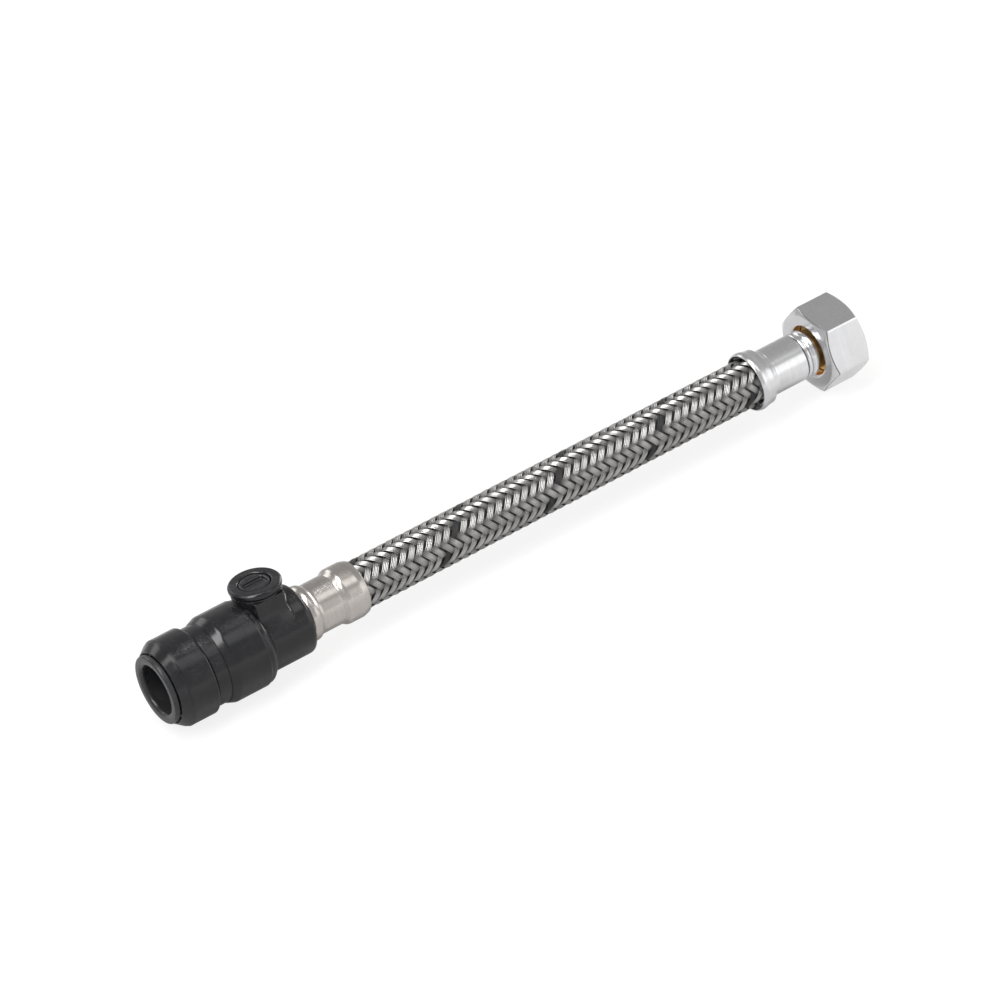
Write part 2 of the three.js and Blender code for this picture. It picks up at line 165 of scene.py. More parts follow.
def joined(name, parts):
    bpy.ops.object.select_all(action="DESELECT")
    for part in parts:
        part.select_set(True)
    bpy.context.view_layer.objects.active = parts[0]
    bpy.ops.object.join()
    parts[0].name = name
    return parts[0]


def settle(piece, body, slotName, material, *replaced):
    piece.data.materials.clear()
    piece.data.materials.append(material)
    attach(piece, body)
    if replaced:
        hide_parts(*replaced)
    return piece


# Shared surface effects

def makeGroup(name, inputs, outputs):
    tree = bpy.data.node_groups.new(name, "ShaderNodeTree")
    for label, kind, value in inputs:
        socket = tree.interface.new_socket(label, in_out="INPUT", socket_type=kind)
        if value is not None:
            socket.default_value = value
    for label, kind in outputs:
        tree.interface.new_socket(label, in_out="OUTPUT", socket_type=kind)
    return tree, tree.nodes.new("NodeGroupInput"), tree.nodes.new("NodeGroupOutput")


def mathNode(tree, operation, first, second=None, clamp=False):
    node = tree.nodes.new("ShaderNodeMath")
    node.operation = operation
    node.use_clamp = clamp
    for socket, value in zip(node.inputs, (first, second)):
        if value is None:
            continue
        if hasattr(value, "is_output"):
            tree.links.new(value, socket)
        else:
            socket.default_value = value
    return node.outputs[0]


def noiseNode(tree, vector, scale, detail=2.0, roughness=0.5, distortion=0.0):
    node = tree.nodes.new("ShaderNodeTexNoise")
    tree.links.new(vector, node.inputs["Vector"])
    if hasattr(scale, "is_output"):
        tree.links.new(scale, node.inputs["Scale"])
    else:
        node.inputs["Scale"].default_value = scale
    node.inputs["Detail"].default_value = detail
    node.inputs["Roughness"].default_value = roughness
    node.inputs["Distortion"].default_value = distortion
    return node.outputs[0]


def stretchNode(tree, vector, factors, turn=(0, 0, 0)):
    node = tree.nodes.new("ShaderNodeMapping")
    tree.links.new(vector, node.inputs["Vector"])
    node.inputs["Scale"].default_value = factors
    node.inputs["Rotation"].default_value = turn
    return node.outputs[0]


def rangeNode(tree, value, low, high, outLow=0.0, outHigh=1.0):
    node = tree.nodes.new("ShaderNodeMapRange")
    tree.links.new(value, node.inputs["Value"])
    node.inputs["From Min"].default_value = low
    node.inputs["From Max"].default_value = high
    node.inputs["To Min"].default_value = outLow
    node.inputs["To Max"].default_value = outHigh
    return node.outputs[0]


def makeMouldGrain():
    tree, source, result = makeGroup(
        "mouldGrain",
        [("Vector", "NodeSocketVector", None), ("Grain", "NodeSocketFloat", 3200.0),
         ("Flow", "NodeSocketFloat", 90.0)],
        [("Height", "NodeSocketFloat"), ("Shade", "NodeSocketFloat")],
    )
    vector = source.outputs["Vector"]
    fine = noiseNode(tree, vector, source.outputs["Grain"], 2.0, 0.6)
    flow = noiseNode(tree, vector, source.outputs["Flow"], 3.0, 0.55, 0.6)
    fineShare = mathNode(tree, "MULTIPLY", fine, 0.6)
    flowShare = mathNode(tree, "MULTIPLY", flow, 0.4)
    tree.links.new(mathNode(tree, "ADD", fineShare, flowShare), result.inputs["Height"])
    tree.links.new(rangeNode(tree, flow, 0.3, 0.7), result.inputs["Shade"])
    return tree


def makeScuffs():
    # Fine crossing scratches that come and go in patches.
    tree, source, result = makeGroup(
        "handlingScuffs",
        [("Vector", "NodeSocketVector", None), ("Scale", "NodeSocketFloat", 60.0),
         ("Amount", "NodeSocketFloat", 0.5)],
        [("Mask", "NodeSocketFloat"), ("Height", "NodeSocketFloat")],
    )
    vector = source.outputs["Vector"]
    marks = []
    for factors, turn in (((1.0, 38.0, 52.0), (0.3, 0.2, 0.5)), ((44.0, 1.5, 40.0), (0.1, 0.6, -0.4)),
                          ((30.0, 42.0, 1.2), (0.8, -0.3, 0.2))):
        streak = noiseNode(tree, stretchNode(tree, vector, factors, turn), source.outputs["Scale"], 1.0, 0.5)
        line = mathNode(tree, "ABSOLUTE", mathNode(tree, "SUBTRACT", streak, 0.5))
        marks.append(rangeNode(tree, line, 0.012, 0.0))
    both = mathNode(tree, "MAXIMUM", mathNode(tree, "MAXIMUM", marks[0], marks[1]), marks[2])
    patch = rangeNode(tree, noiseNode(tree, vector, 130.0, 3.0, 0.6), 0.42, 0.62)
    mask = mathNode(tree, "MULTIPLY", mathNode(tree, "MULTIPLY", both, patch), source.outputs["Amount"], True)
    tree.links.new(mask, result.inputs["Mask"])
    tree.links.new(mathNode(tree, "SUBTRACT", 1.0, mask), result.inputs["Height"])
    return tree


def makeTurningLines():
    # Rings left by the lathe: noise that changes along the axis only.
    tree, source, result = makeGroup(
        "turningLines",
        [("Vector", "NodeSocketVector", None), ("Pitch", "NodeSocketFloat", 4200.0)],
        [("Height", "NodeSocketFloat"), ("Shade", "NodeSocketFloat")],
    )
    flat = stretchNode(tree, source.outputs["Vector"], (1.0, 0.012, 0.012))
    rings = noiseNode(tree, flat, source.outputs["Pitch"], 2.0, 0.65)
    broad = noiseNode(tree, flat, 700.0, 2.0, 0.5)
    tree.links.new(rings, result.inputs["Height"])
    ringShare = mathNode(tree, "MULTIPLY", rings, 0.5)
    broadShare = mathNode(tree, "MULTIPLY", broad, 0.5)
    both = mathNode(tree, "ADD", ringShare, broadShare)
    tree.links.new(rangeNode(tree, both, 0.3, 0.7), result.inputs["Shade"])
    return tree


def makeDust():
    # Pale dust settles where the surface faces up, in loose specks.
    tree, source, result = makeGroup(
        "settledDust",
        [("Vector", "NodeSocketVector", None), ("Amount", "NodeSocketFloat", 0.3)],
        [("Mask", "NodeSocketFloat")],
    )
    normal = tree.nodes.new("ShaderNodeNewGeometry")
    split = tree.nodes.new("ShaderNodeSeparateXYZ")
    tree.links.new(normal.outputs["Normal"], split.inputs[0])
    up = rangeNode(tree, split.outputs["Z"], 0.1, 1.0)
    specks = rangeNode(tree, noiseNode(tree, source.outputs["Vector"], 1500.0, 3.0, 0.7), 0.58, 0.72)
    film = rangeNode(tree, noiseNode(tree, source.outputs["Vector"], 240.0, 4.0, 0.6), 0.35, 0.75, 0.0, 0.35)
    both = mathNode(tree, "MAXIMUM", specks, film)
    mask = mathNode(tree, "MULTIPLY", mathNode(tree, "MULTIPLY", both, up), source.outputs["Amount"], True)
    tree.links.new(mask, result.inputs["Mask"])
    return tree


mouldGrain = makeMouldGrain()
handlingScuffs = makeScuffs()
turningLines = makeTurningLines()
settledDust = makeDust()
print("surface effects ready")


# Materials

def groupNode(tree, group, vector, **values):
    node = tree.nodes.new("ShaderNodeGroup")
    node.node_tree = group
    tree.links.new(vector, node.inputs["Vector"])
    for label, value in values.items():
        node.inputs[label].default_value = value
    return node


def mixColor(tree, mask, first, second):
    node = tree.nodes.new("ShaderNodeMix")
    node.data_type = "RGBA"
    tree.links.new(mask, node.inputs["Factor"])
    for socket, value in ((node.inputs[6], first), (node.inputs[7], second)):
        if hasattr(value, "is_output"):
            tree.links.new(value, socket)
        else:
            socket.default_value = (*value, 1)
    return node.outputs[2]


def startMaterial(name):
    material = bpy.data.materials.new(name)
    material.use_nodes = True
    tree = material.node_tree
    shader = tree.nodes["Principled BSDF"]
    where = tree.nodes.new("ShaderNodeTexCoord").outputs["Object"]
    return material, tree, shader, where


def bumpNode(tree, height, strength, distance, below=None):
    node = tree.nodes.new("ShaderNodeBump")
    node.inputs["Strength"].default_value = strength
    node.inputs["Distance"].default_value = distance
    tree.links.new(height, node.inputs["Height"])
    if below is not None:
        tree.links.new(below, node.inputs["Normal"])
    return node.outputs[0]


reliefDepth = {
    "grain": 0.00006, "plasticScuff": 0.00005, "lathe": 0.00003, "metalScuff": 0.00004, "wire": 0.00002,
}


def plasticMaterial(name, look):
    material, tree, shader, where = startMaterial(name)
    grain = groupNode(tree, mouldGrain, where, Grain=look["grain"], Flow=look["flow"])
    scuffs = groupNode(tree, handlingScuffs, where, Scale=look["scuffScale"], Amount=look["scuffs"])
    dust = groupNode(tree, settledDust, where, Amount=look["dust"])
    colour = mixColor(tree, grain.outputs["Shade"], look["colour"], look["flowColour"])
    colour = mixColor(tree, scuffs.outputs["Mask"], colour, look["scuffColour"])
    colour = mixColor(tree, dust.outputs["Mask"], colour, look["dustColour"])
    roughest = look["roughness"] + look["roughSpread"]
    rough = rangeNode(tree, grain.outputs["Shade"], 0.0, 1.0, look["roughness"], roughest)
    rough = mathNode(tree, "ADD", rough, mathNode(tree, "MULTIPLY", dust.outputs["Mask"], 0.3), True)
    tree.links.new(colour, shader.inputs["Base Color"])
    tree.links.new(rough, shader.inputs["Roughness"])
    shader.inputs["IOR"].default_value = 1.5
    low = bumpNode(tree, grain.outputs["Height"], look["grainDepth"], reliefDepth["grain"])
    normal = bumpNode(tree, scuffs.outputs["Height"], look["scuffDepth"], reliefDepth["plasticScuff"], low)
    tree.links.new(normal, shader.inputs["Normal"])
    return material


def metalMaterial(name, look):
    material, tree, shader, where = startMaterial(name)
    lines = groupNode(tree, turningLines, where, Pitch=look["pitch"])
    scuffs = groupNode(tree, handlingScuffs, where, Scale=look["scuffScale"], Amount=look["scuffs"])
    dust = groupNode(tree, settledDust, where, Amount=look["dust"])
    colour = mixColor(tree, lines.outputs["Shade"], look["colour"], look["lineColour"])
    colour = mixColor(tree, scuffs.outputs["Mask"], colour, look["scuffColour"])
    colour = mixColor(tree, dust.outputs["Mask"], colour, look["dustColour"])
    roughest = look["roughness"] + look["roughSpread"]
    rough = rangeNode(tree, lines.outputs["Shade"], 0.0, 1.0, look["roughness"], roughest)
    rough = mathNode(tree, "ADD", rough, mathNode(tree, "MULTIPLY", scuffs.outputs["Mask"], 0.25), True)
    tree.links.new(colour, shader.inputs["Base Color"])
    tree.links.new(rough, shader.inputs["Roughness"])
    shader.inputs["Metallic"].default_value = 1.0
    low = bumpNode(tree, lines.outputs["Height"], look["lineDepth"], reliefDepth["lathe"])
    normal = bumpNode(tree, scuffs.outputs["Height"], look["scuffDepth"], reliefDepth["metalScuff"], low)
    tree.links.new(normal, shader.inputs["Normal"])
    return material


blackPlastic = {
    "colour": (0.0055, 0.0055, 0.0068), "flowColour": (0.0085, 0.0085, 0.0105),
    "roughness": 0.14, "roughSpread": 0.07, "grain": 3600.0, "flow": 110.0, "grainDepth": 0.13,
    "scuffScale": 55.0, "scuffs": 0.35, "scuffDepth": 0.35, "scuffColour": (0.07, 0.072, 0.077),
    "dust": 0.1, "dustColour": (0.26, 0.26, 0.26),
}
plastics = {
    "collet": plasticMaterial("colletPlastic", {
        **blackPlastic, "colour": (0.018, 0.018, 0.019), "flowColour": (0.026, 0.026, 0.028),
        "roughness": 0.24, "flow": 150.0}),
    "cap": plasticMaterial("capPlastic", {**blackPlastic, "roughness": 0.15}),
    "body": plasticMaterial("bodyPlastic", {**blackPlastic, "flow": 80.0}),
    "disc": plasticMaterial("discPlastic", {**blackPlastic, "roughness": 0.15, "dust": 0.12}),
    "spindle": plasticMaterial("spindlePlastic", {**blackPlastic, "roughness": 0.2, "scuffs": 0.55}),
}
chromeLook = {
    "colour": (0.80, 0.80, 0.81), "lineColour": (0.70, 0.70, 0.71), "scuffColour": (0.9, 0.9, 0.9),
    "roughness": 0.13, "roughSpread": 0.07, "pitch": 5200.0, "lineDepth": 0.12,
    "scuffScale": 70.0, "scuffs": 0.6, "scuffDepth": 0.35, "dust": 0.05, "dustColour": (0.62, 0.6, 0.57),
}
metals = {
    "nickel": metalMaterial("satinNickel", {
        **chromeLook, "colour": (0.61, 0.57, 0.535), "lineColour": (0.52, 0.485, 0.455),
        "roughness": 0.2, "roughSpread": 0.08, "lineDepth": 0.14, "scuffs": 0.4, "scuffDepth": 0.2}),
    "ferruleChrome": metalMaterial("ferruleChrome", {
        **chromeLook, "roughness": 0.2, "lineDepth": 0.2, "scuffs": 0.25, "scuffDepth": 0.15}),
    "tailChrome": metalMaterial("tailChrome", {
        **chromeLook, "roughness": 0.15, "scuffs": 0.3, "scuffDepth": 0.12}),
    "nutChrome": metalMaterial("nutChrome", {
        **chromeLook, "roughness": 0.17, "scuffs": 0.6, "scuffColour": (0.45, 0.45, 0.46), "scuffDepth": 0.2,
        "pitch": 3000.0}),
    "rawBrass": metalMaterial("rawBrass", {
        **chromeLook, "colour": (1.0, 0.6, 0.16), "lineColour": (0.86, 0.46, 0.1), "roughness": 0.34}),
    # Dark chrome for the strip where the nut's chamfer cuts a flat: a painted dark reflection of that edge.
    "paintedEdgeReflection": metalMaterial("chromePaintedEdgeReflection", {
        **chromeLook, "colour": (0.16, 0.16, 0.165), "lineColour": (0.11, 0.11, 0.115), "roughness": 0.35}),
    "tailBrass": metalMaterial("tailBrass", {
        **chromeLook, "colour": (0.78, 0.60, 0.29), "lineColour": (0.68, 0.50, 0.22), "roughness": 0.25}),
    "ballChrome": metalMaterial("ballChrome", {
        **chromeLook, "roughness": 0.08, "lineDepth": 0.05, "scuffs": 0.2}),
    "springSteel": metalMaterial("springSteel", {
        **chromeLook, "colour": (0.55, 0.55, 0.56), "lineColour": (0.47, 0.47, 0.48), "roughness": 0.22}),
}
rubberLook = {
    **blackPlastic, "colour": (0.010, 0.010, 0.010), "flowColour": (0.016, 0.016, 0.016),
    "roughness": 0.55, "roughSpread": 0.12, "grain": 2400.0, "grainDepth": 0.4, "scuffs": 0.1, "dust": 0.12,
}
blackRubber = plasticMaterial("blackRubber", rubberLook)
seatWhite = plasticMaterial("seatWhite", {
    **blackPlastic, "colour": (0.74, 0.72, 0.66), "flowColour": (0.80, 0.79, 0.74),
    "scuffColour": (0.6, 0.58, 0.52), "roughness": 0.4, "scuffs": 0.2, "dust": 0.0})
print("materials ready")


# Push-fit end

colletSize = {
    "flangeRadius": 10.85, "flange": 1.8, "flangeBack": 10.55, "lipDepth": 1.25, "bore": 7.72, "sleeve": 9.07,
    "legStart": 6.0, "legOverlap": 0.2, "legEnd": 12.4, "legs": 6, "legSteps": 14, "slotWidth": 1.1,
    "barbStart": 9.2, "barbFull": 9.5, "barbEnd": 11.6, "barb": 9.87,
    "grooveFront": 10.25, "grooveBack": 11.25, "groove": 8.77,
}


def colletLeg(size, start, end):
    # A hooked strip of the sleeve between two slots, grooved inside for the steel ring.
    root = size["legStart"] - size["legOverlap"]
    outline = rounded([
        (root, size["bore"]), (root, size["sleeve"]), (size["barbStart"], size["sleeve"]),
        (size["barbFull"], size["barb"]), (size["barbEnd"], size["barb"]), (size["legEnd"], size["sleeve"]),
        (size["legEnd"], size["bore"]), (size["grooveBack"], size["bore"]),
        (size["grooveBack"], size["groove"]), (size["grooveFront"], size["groove"]),
        (size["grooveFront"], size["bore"]),
    ], 0.08, 2)
    steps = size["legSteps"]
    verts = [
        circlePoint(x, r, start + (end - start) * k / steps)
        for k in range(steps + 1)
        for x, r in outline
    ]
    count = len(outline)
    faces = loopFaces(steps + 1, count, False)
    faces.append(tuple(range(count)))
    faces.append(tuple(steps * count + k for k in range(count)))
    return finishMesh("colletLeg", verts, faces)


def makeCollet(size):
    ring = turnedPiece("colletRing", rounded([
        (0, size["bore"] + size["lipDepth"], 0.3), (0, size["flangeRadius"] - 0.35, 0.3),
        (0.35, size["flangeRadius"], 0.2), (size["flange"] - 0.25, size["flangeRadius"], 0.15),
        (size["flange"], size["flangeBack"]), (size["flange"], size["sleeve"]),
        (size["legStart"], size["sleeve"]), (size["legStart"], size["bore"]),
        (size["lipDepth"], size["bore"], 0.3), (0.65, size["bore"] + 0.14, 0.3),
        (0.22, size["bore"] + 0.55, 0.3),
    ], 0.12, 4), 192)
    half = size["slotWidth"] / 2 / size["sleeve"]
    parts = [ring]
    for i in range(size["legs"]):
        middle = 2 * math.pi * i / size["legs"]
        reach = math.pi / size["legs"] - half
        parts.append(colletLeg(size, middle - reach, middle + reach))
    return joined("colletPiece", parts)


settle(makeCollet(colletSize), "release_collet", "collet_plastic", plastics["collet"], "collet")

capSize = {
    "front": 1.8, "lip": 11.5, "grooveFront": 4.3, "grooveBack": 5.0, "groove": 13.3, "end": 14.0,
    "radius": 13.75, "mouth": 11.15, "mouthEnd": 3.6, "sleeveRoom": 9.37, "thread": 12.3, "shoulder": 8.6,
}


def makeCap(size):
    return turnedPiece("capPiece", rounded([
        (size["front"], size["mouth"], 0.1), (size["front"], size["lip"], 0.2),
        (size["grooveFront"], size["groove"] + 0.1, 0.12), (size["grooveFront"] + 0.25, size["groove"], 0.05),
        (size["grooveBack"] - 0.2, size["groove"] + 0.05, 0.05), (size["grooveBack"], size["radius"], 0.15),
        (size["end"] - 0.6, size["radius"], 0.45), (size["end"], size["radius"] - 0.7, 0.3),
        (size["end"], size["thread"]), (size["shoulder"], size["thread"]),
        (size["shoulder"], size["sleeveRoom"]), (size["mouthEnd"], size["sleeveRoom"]),
        (size["mouthEnd"], size["mouth"]),
    ], 0.15, 4), 192)


settle(makeCap(capSize), "connector", "cap_plastic", plastics["cap"], "retaining_cap")

bodySize = {
    "threadStart": 8.9, "thread": 12.0, "neckFront": 14.3, "neck": 12.5, "neckBack": 18.4,
    "ringStart": 12.85, "ringFront": 20.9, "ring": 13.8, "ringBack": 31.6, "step": 13.4, "stepBack": 33.3,
    "taper": 11.75, "taperEnd": 35.1, "barrel": 11.2, "barrelEnd": 48.4, "end": 49.7,
    "sealBore": 10.52, "sealEnd": 18.6, "pipeBore": 7.72,
    "pipeStop": 30.0, "waterway": 4.2, "ballFront": 32.0, "ballBore": 7.2, "ballBack": 45.6, "tailBore": 8.7,
    "boss": 38.8, "bossRadius": 7.4, "padLength": 10.4, "padWidth": 15.4, "padPower": 15,
    "blendAlong": 0.9, "blendSide": 2.3, "blendTop": 14.2, "collarFoot": 14.35, "collar": 7.7, "padTop": 15.2,
    "collarTop": 15.8, "stemBore": 5.0, "stemFloor": 12.7, "stemHole": 3.7, "stemFoot": 7.6, "root": 6.4,
}


def aboutBoss(height, radius, angle):
    return (bodySize["boss"] + radius * math.cos(angle), radius * math.sin(angle), height)


def wallReach(size, angle):
    # Round chimney with a flat cheek on each side, seen from above.
    c, s = abs(math.cos(angle)), abs(math.sin(angle))
    power = size["padPower"]
    pad = 1 / ((c / (size["padLength"] / 2)) ** power + (s / (size["padWidth"] / 2)) ** power) ** (1 / power)
    return max(size["bossRadius"], pad)


def chimneyLoop(size, angle):
    # One upright section of the chimney wall, blended into the barrel at its foot.
    wall = wallReach(size, angle)
    side = abs(math.sin(angle))
    foot = wall + size["blendAlong"] + (size["blendSide"] - size["blendAlong"]) * side ** 2
    footHeight = math.sqrt(size["barrel"] ** 2 - (foot * side) ** 2)
    slope = foot * side ** 2 / footHeight
    corner = footHeight + slope * (foot - wall)
    top = min(corner + size["blendAlong"] * 1.6 + side * 1.2, size["blendTop"])
    rows = [(footHeight - slope * 0.6 - 0.4, foot + 0.6), (footHeight, foot)]
    for k in range(1, 10):
        t = k / 10
        rows.append((
            footHeight * (1 - t) ** 2 + corner * 2 * t * (1 - t) + top * t ** 2,
            foot * (1 - t) ** 2 + wall * 2 * t * (1 - t) + wall * t ** 2,
        ))
    lip = max(wall, size["collar"])
    rows += [
        (top, wall), (size["collarFoot"], wall), (size["collarFoot"] + 0.35, lip),
        (size["padTop"] - 0.12, lip),
        (size["padTop"], max(lip - 0.12, size["collar"])), (size["padTop"] + 0.02, size["collar"]),
        (size["collarTop"] - 0.15, size["collar"]), (size["collarTop"] - 0.04, size["collar"] - 0.04),
        (size["collarTop"], size["collar"] - 0.15), (size["collarTop"], size["stemBore"]),
        (size["stemFloor"], size["stemBore"]), (size["stemFloor"], size["stemHole"]),
        (size["stemFoot"], size["stemHole"]), (size["stemFoot"], min(foot - 2.2, size["root"])),
    ]
    return rows


def makeBody(size):
    shell = turnedPiece("bodyShell", rounded([
        (size["threadStart"], size["sealBore"]), (size["threadStart"], size["thread"] - 0.3),
        (size["threadStart"] + 0.3, size["thread"]), (size["neckFront"], size["thread"]),
        (size["neckFront"], size["neck"], 0.2), (size["neckBack"], size["neck"], 0.1),
        (size["neckBack"] + 0.15, size["ringStart"], 0.12), (size["ringFront"], size["ring"], 0.5),
        (size["ringBack"], size["ring"], 0.4), (size["ringBack"] + 0.3, size["step"] + 0.02, 0.1),
        (size["stepBack"], size["step"], 1.1), (size["taperEnd"], size["taper"], 0.5),
        (size["taperEnd"] + 0.3, size["barrel"], 0.25), (size["barrelEnd"], size["barrel"], 0.4),
        (size["end"] - 0.35, size["barrel"] - 0.35, 0.5), (size["end"], size["barrel"] - 1.1, 0.3),
        (size["end"], size["tailBore"]), (size["ballBack"], size["tailBore"]),
        (size["ballBack"], size["ballBore"]), (size["ballFront"], size["ballBore"]),
        (size["ballFront"], size["waterway"]),
        (size["pipeStop"], size["waterway"]), (size["pipeStop"], size["pipeBore"]),
        (size["sealEnd"], size["pipeBore"]), (size["sealEnd"], size["sealBore"]),
    ], 0.12, 4), 224)
    segments = 288
    verts, columns = [], 0
    for k in range(segments):
        angle = 2 * math.pi * k / segments
        rows = chimneyLoop(size, angle)
        columns = len(rows)
        verts += [aboutBoss(h, r, angle) for h, r in rows]
    chimney = finishMesh("bodyChimney", verts, loopFaces(segments, columns, True))
    return joined("bodyPiece", [shell, chimney])


settle(makeBody(bodySize), "connector", "body_plastic", plastics["body"], "valve_body")

discSize = {"radius": 8.1, "top": 18.0, "thickness": 1.9, "hole": 5.0}


def makeDisc(size):
    bottom = size["top"] - size["thickness"]
    return turnedPiece("discPiece", rounded([
        (bottom, size["hole"]), (bottom, size["radius"] - 0.25), (bottom + 0.4, size["radius"], 0.3),
        (size["top"] - 0.55, size["radius"], 0.2), (size["top"], size["radius"] - 0.55, 0.2),
        (size["top"], size["hole"] + 0.3, 0.15), (size["top"] - 0.3, size["hole"]),
    ], 0.12, 4), 160, aboutBoss)


settle(makeDisc(discSize), "connector", "disc_plastic", plastics["disc"], "boss_disc")

spindleSize = {
    "foot": 6.6, "stem": 3.2, "groove": 2.45, "grooveFoot": 9.1, "grooveTop": 10.9, "headFloor": 13.1,
    "head": 4.7, "top": 17.7, "slotLength": 7.2, "slotWidth": 3.8, "slotDepth": 0.95, "slotPower": 8,
    "points": 96, "blade": (1.8, 4.6, 1.5), "bladeHeight": 6.15, "bladeBevel": 0.0001,
}


def makeSpindle(size):
    count = size["points"]
    centre = bodySize["boss"]
    turns = [2 * math.pi * k / count for k in range(count)]

    def ring(height, radius):
        return [(centre + radius * math.cos(a), radius * math.sin(a), height) for a in turns]

    def slot(height, grow):
        half = size["slotLength"] / 2 + grow
        width = size["slotWidth"] / 2 + grow
        power = size["slotPower"]
        points = []
        for a in turns:
            c, s = math.cos(a), math.sin(a)
            reach = 1 / (abs(c / half) ** power + abs(s / width) ** power) ** (1 / power)
            points.append((centre + reach * c, reach * s, height))
        return points

    top = size["top"]
    loops = [
        ring(size["foot"], size["stem"] - 0.15), ring(size["foot"] + 0.15, size["stem"]),
        ring(size["grooveFoot"], size["stem"]), ring(size["grooveFoot"], size["groove"]),
        ring(size["grooveTop"], size["groove"]), ring(size["grooveTop"], size["stem"]),
        ring(size["headFloor"], size["stem"]), ring(size["headFloor"], size["head"]),
        ring(top - 0.25, size["head"]), ring(top - 0.07, size["head"] - 0.06), ring(top, size["head"] - 0.25),
        slot(top, 0.42), slot(top - 0.05, 0.25), slot(top - 0.18, 0.1), slot(top - 0.36, 0.0),
        slot(top - size["slotDepth"] + 0.2, -0.05), slot(top - size["slotDepth"], -0.3),
    ]
    shaft = stacked("spindleShaft", loops)
    blade = bmesh.new()
    bmesh.ops.create_cube(blade, size=1)
    across, along, deep = size["blade"]
    for v in blade.verts:
        v.co = place(centre + v.co.x * across, v.co.y * along, size["bladeHeight"] + v.co.z * deep)
    bmesh.ops.bevel(
        blade, geom=blade.edges, offset=size["bladeBevel"], segments=2, profile=0.6, affect="EDGES")
    mesh = bpy.data.meshes.new("spindleBlade")
    blade.to_mesh(mesh)
    blade.free()
    piece = bpy.data.objects.new("spindleBlade", mesh)
    scene.collection.objects.link(piece)
    return joined("spindlePiece", [shaft, piece])


settle(makeSpindle(spindleSize), "valve_core", "spindle_plastic", plastics["spindle"], "spindle")
print("push-fit end ready")


# Ferrules, tail and washer

nearFerruleSize = {
    "front": 50.0, "hole": 6.6, "beadAt": 52.0, "bead": 8.9, "beadFoot": 8.05,
    "crimpFront": 54.6, "crimp": 7.93, "crease": 61.6, "bellFront": 63.7, "bell": 8.95, "bellBack": 68.5,
    "mouth": 70.4, "mouthRadius": 8.42, "inside": 8.4, "insideCrimp": 7.4,
}


def makeNearFerrule(size):
    return turnedPiece("nearFerrulePiece", rounded([
        (size["front"], size["hole"]), (size["front"], size["beadFoot"], 0.3),
        (size["beadAt"] - 1, size["bead"] - 0.15, 0.5), (size["beadAt"], size["bead"], 0.5),
        (size["beadAt"] + 1, size["bead"] - 0.2, 0.5), (size["beadAt"] + 2, size["beadFoot"], 0.4),
        (size["crimpFront"], size["crimp"], 0.3), (size["crease"], size["crimp"], 0.06),
        (size["crease"] + 0.12, size["crimp"] - 0.1, 0.04),
        (size["crease"] + 0.35, size["crimp"] + 0.02, 0.06),
        (size["bellFront"] - 0.8, size["bell"] - 0.23, 0.35), (size["bellFront"], size["bell"], 0.5),
        (size["bellBack"], size["bell"], 0.5), (size["mouth"] - 0.7, size["mouthRadius"] + 0.2, 0.4),
        (size["mouth"], size["mouthRadius"], 0.15), (size["mouth"], size["beadFoot"], 0.15),
        (size["bellBack"], size["inside"]), (size["bellFront"] + 0.5, size["inside"]),
        (size["crease"] + 0.8, size["insideCrimp"]), (size["crimpFront"] + 0.1, size["insideCrimp"]),
        (size["crimpFront"] + 0.1, size["hole"]),
    ], 0.12, 4), 192)


farFerruleSize = {
    "mouth": 216.3, "mouthRadius": 8.95, "bellAt": 218.0, "bell": 9.6, "waist": 9.08, "bellBack": 221.5,
    "foot": 222.8, "shank": 7.5, "end": 235.3, "hole": 6.95, "inside": 8.45,
}


def makeFarFerrule(size):
    return turnedPiece("farFerrulePiece", rounded([
        (size["mouth"], size["mouthRadius"], 0.06), (size["mouth"] + 0.1, size["bell"] - 0.3, 0.12),
        (size["bellAt"] - 0.8, size["bell"] - 0.05, 0.4), (size["bellAt"], size["bell"], 0.4),
        (size["bellAt"] + 1.2, size["bell"] - 0.3, 0.5), (size["bellAt"] + 2.3, size["waist"], 0.4),
        (size["bellBack"], size["waist"] - 0.1, 0.3), (size["bellBack"] - 1.7, size["inside"] + 0.05, 0.3),
        (size["foot"], size["shank"] + 0.22, 0.12), (size["foot"] + 0.5, size["shank"] + 0.12, 0.1),
        (size["foot"] + 0.8, size["shank"], 0.1), (size["end"] - 0.25, size["shank"], 0.2),
        (size["end"], size["shank"] - 0.25, 0.1), (size["end"], size["hole"]),
        (size["foot"] - 0.15, size["hole"]), (size["bellBack"] - 0.3, size["inside"]),
        (size["bellAt"], size["inside"] + 0.3),
    ], 0.12, 4), 192)


farTailSize = {
    "front": 199.2, "bore": 3.3, "root": 3.9, "barb": 4.4, "firstBarb": 203.2, "barbPitch": 4.0, "barbs": 4,
    "flangeFront": 220.65, "flange": 6.05, "shankFront": 223.2, "shank": 6.65,
    "beadFront": 235.6, "bead": 7.5, "beadEnd": 240.1, "neck": 6.4,
    "seatFront": 244.0, "seat": 8.8, "end": 246.0,
}


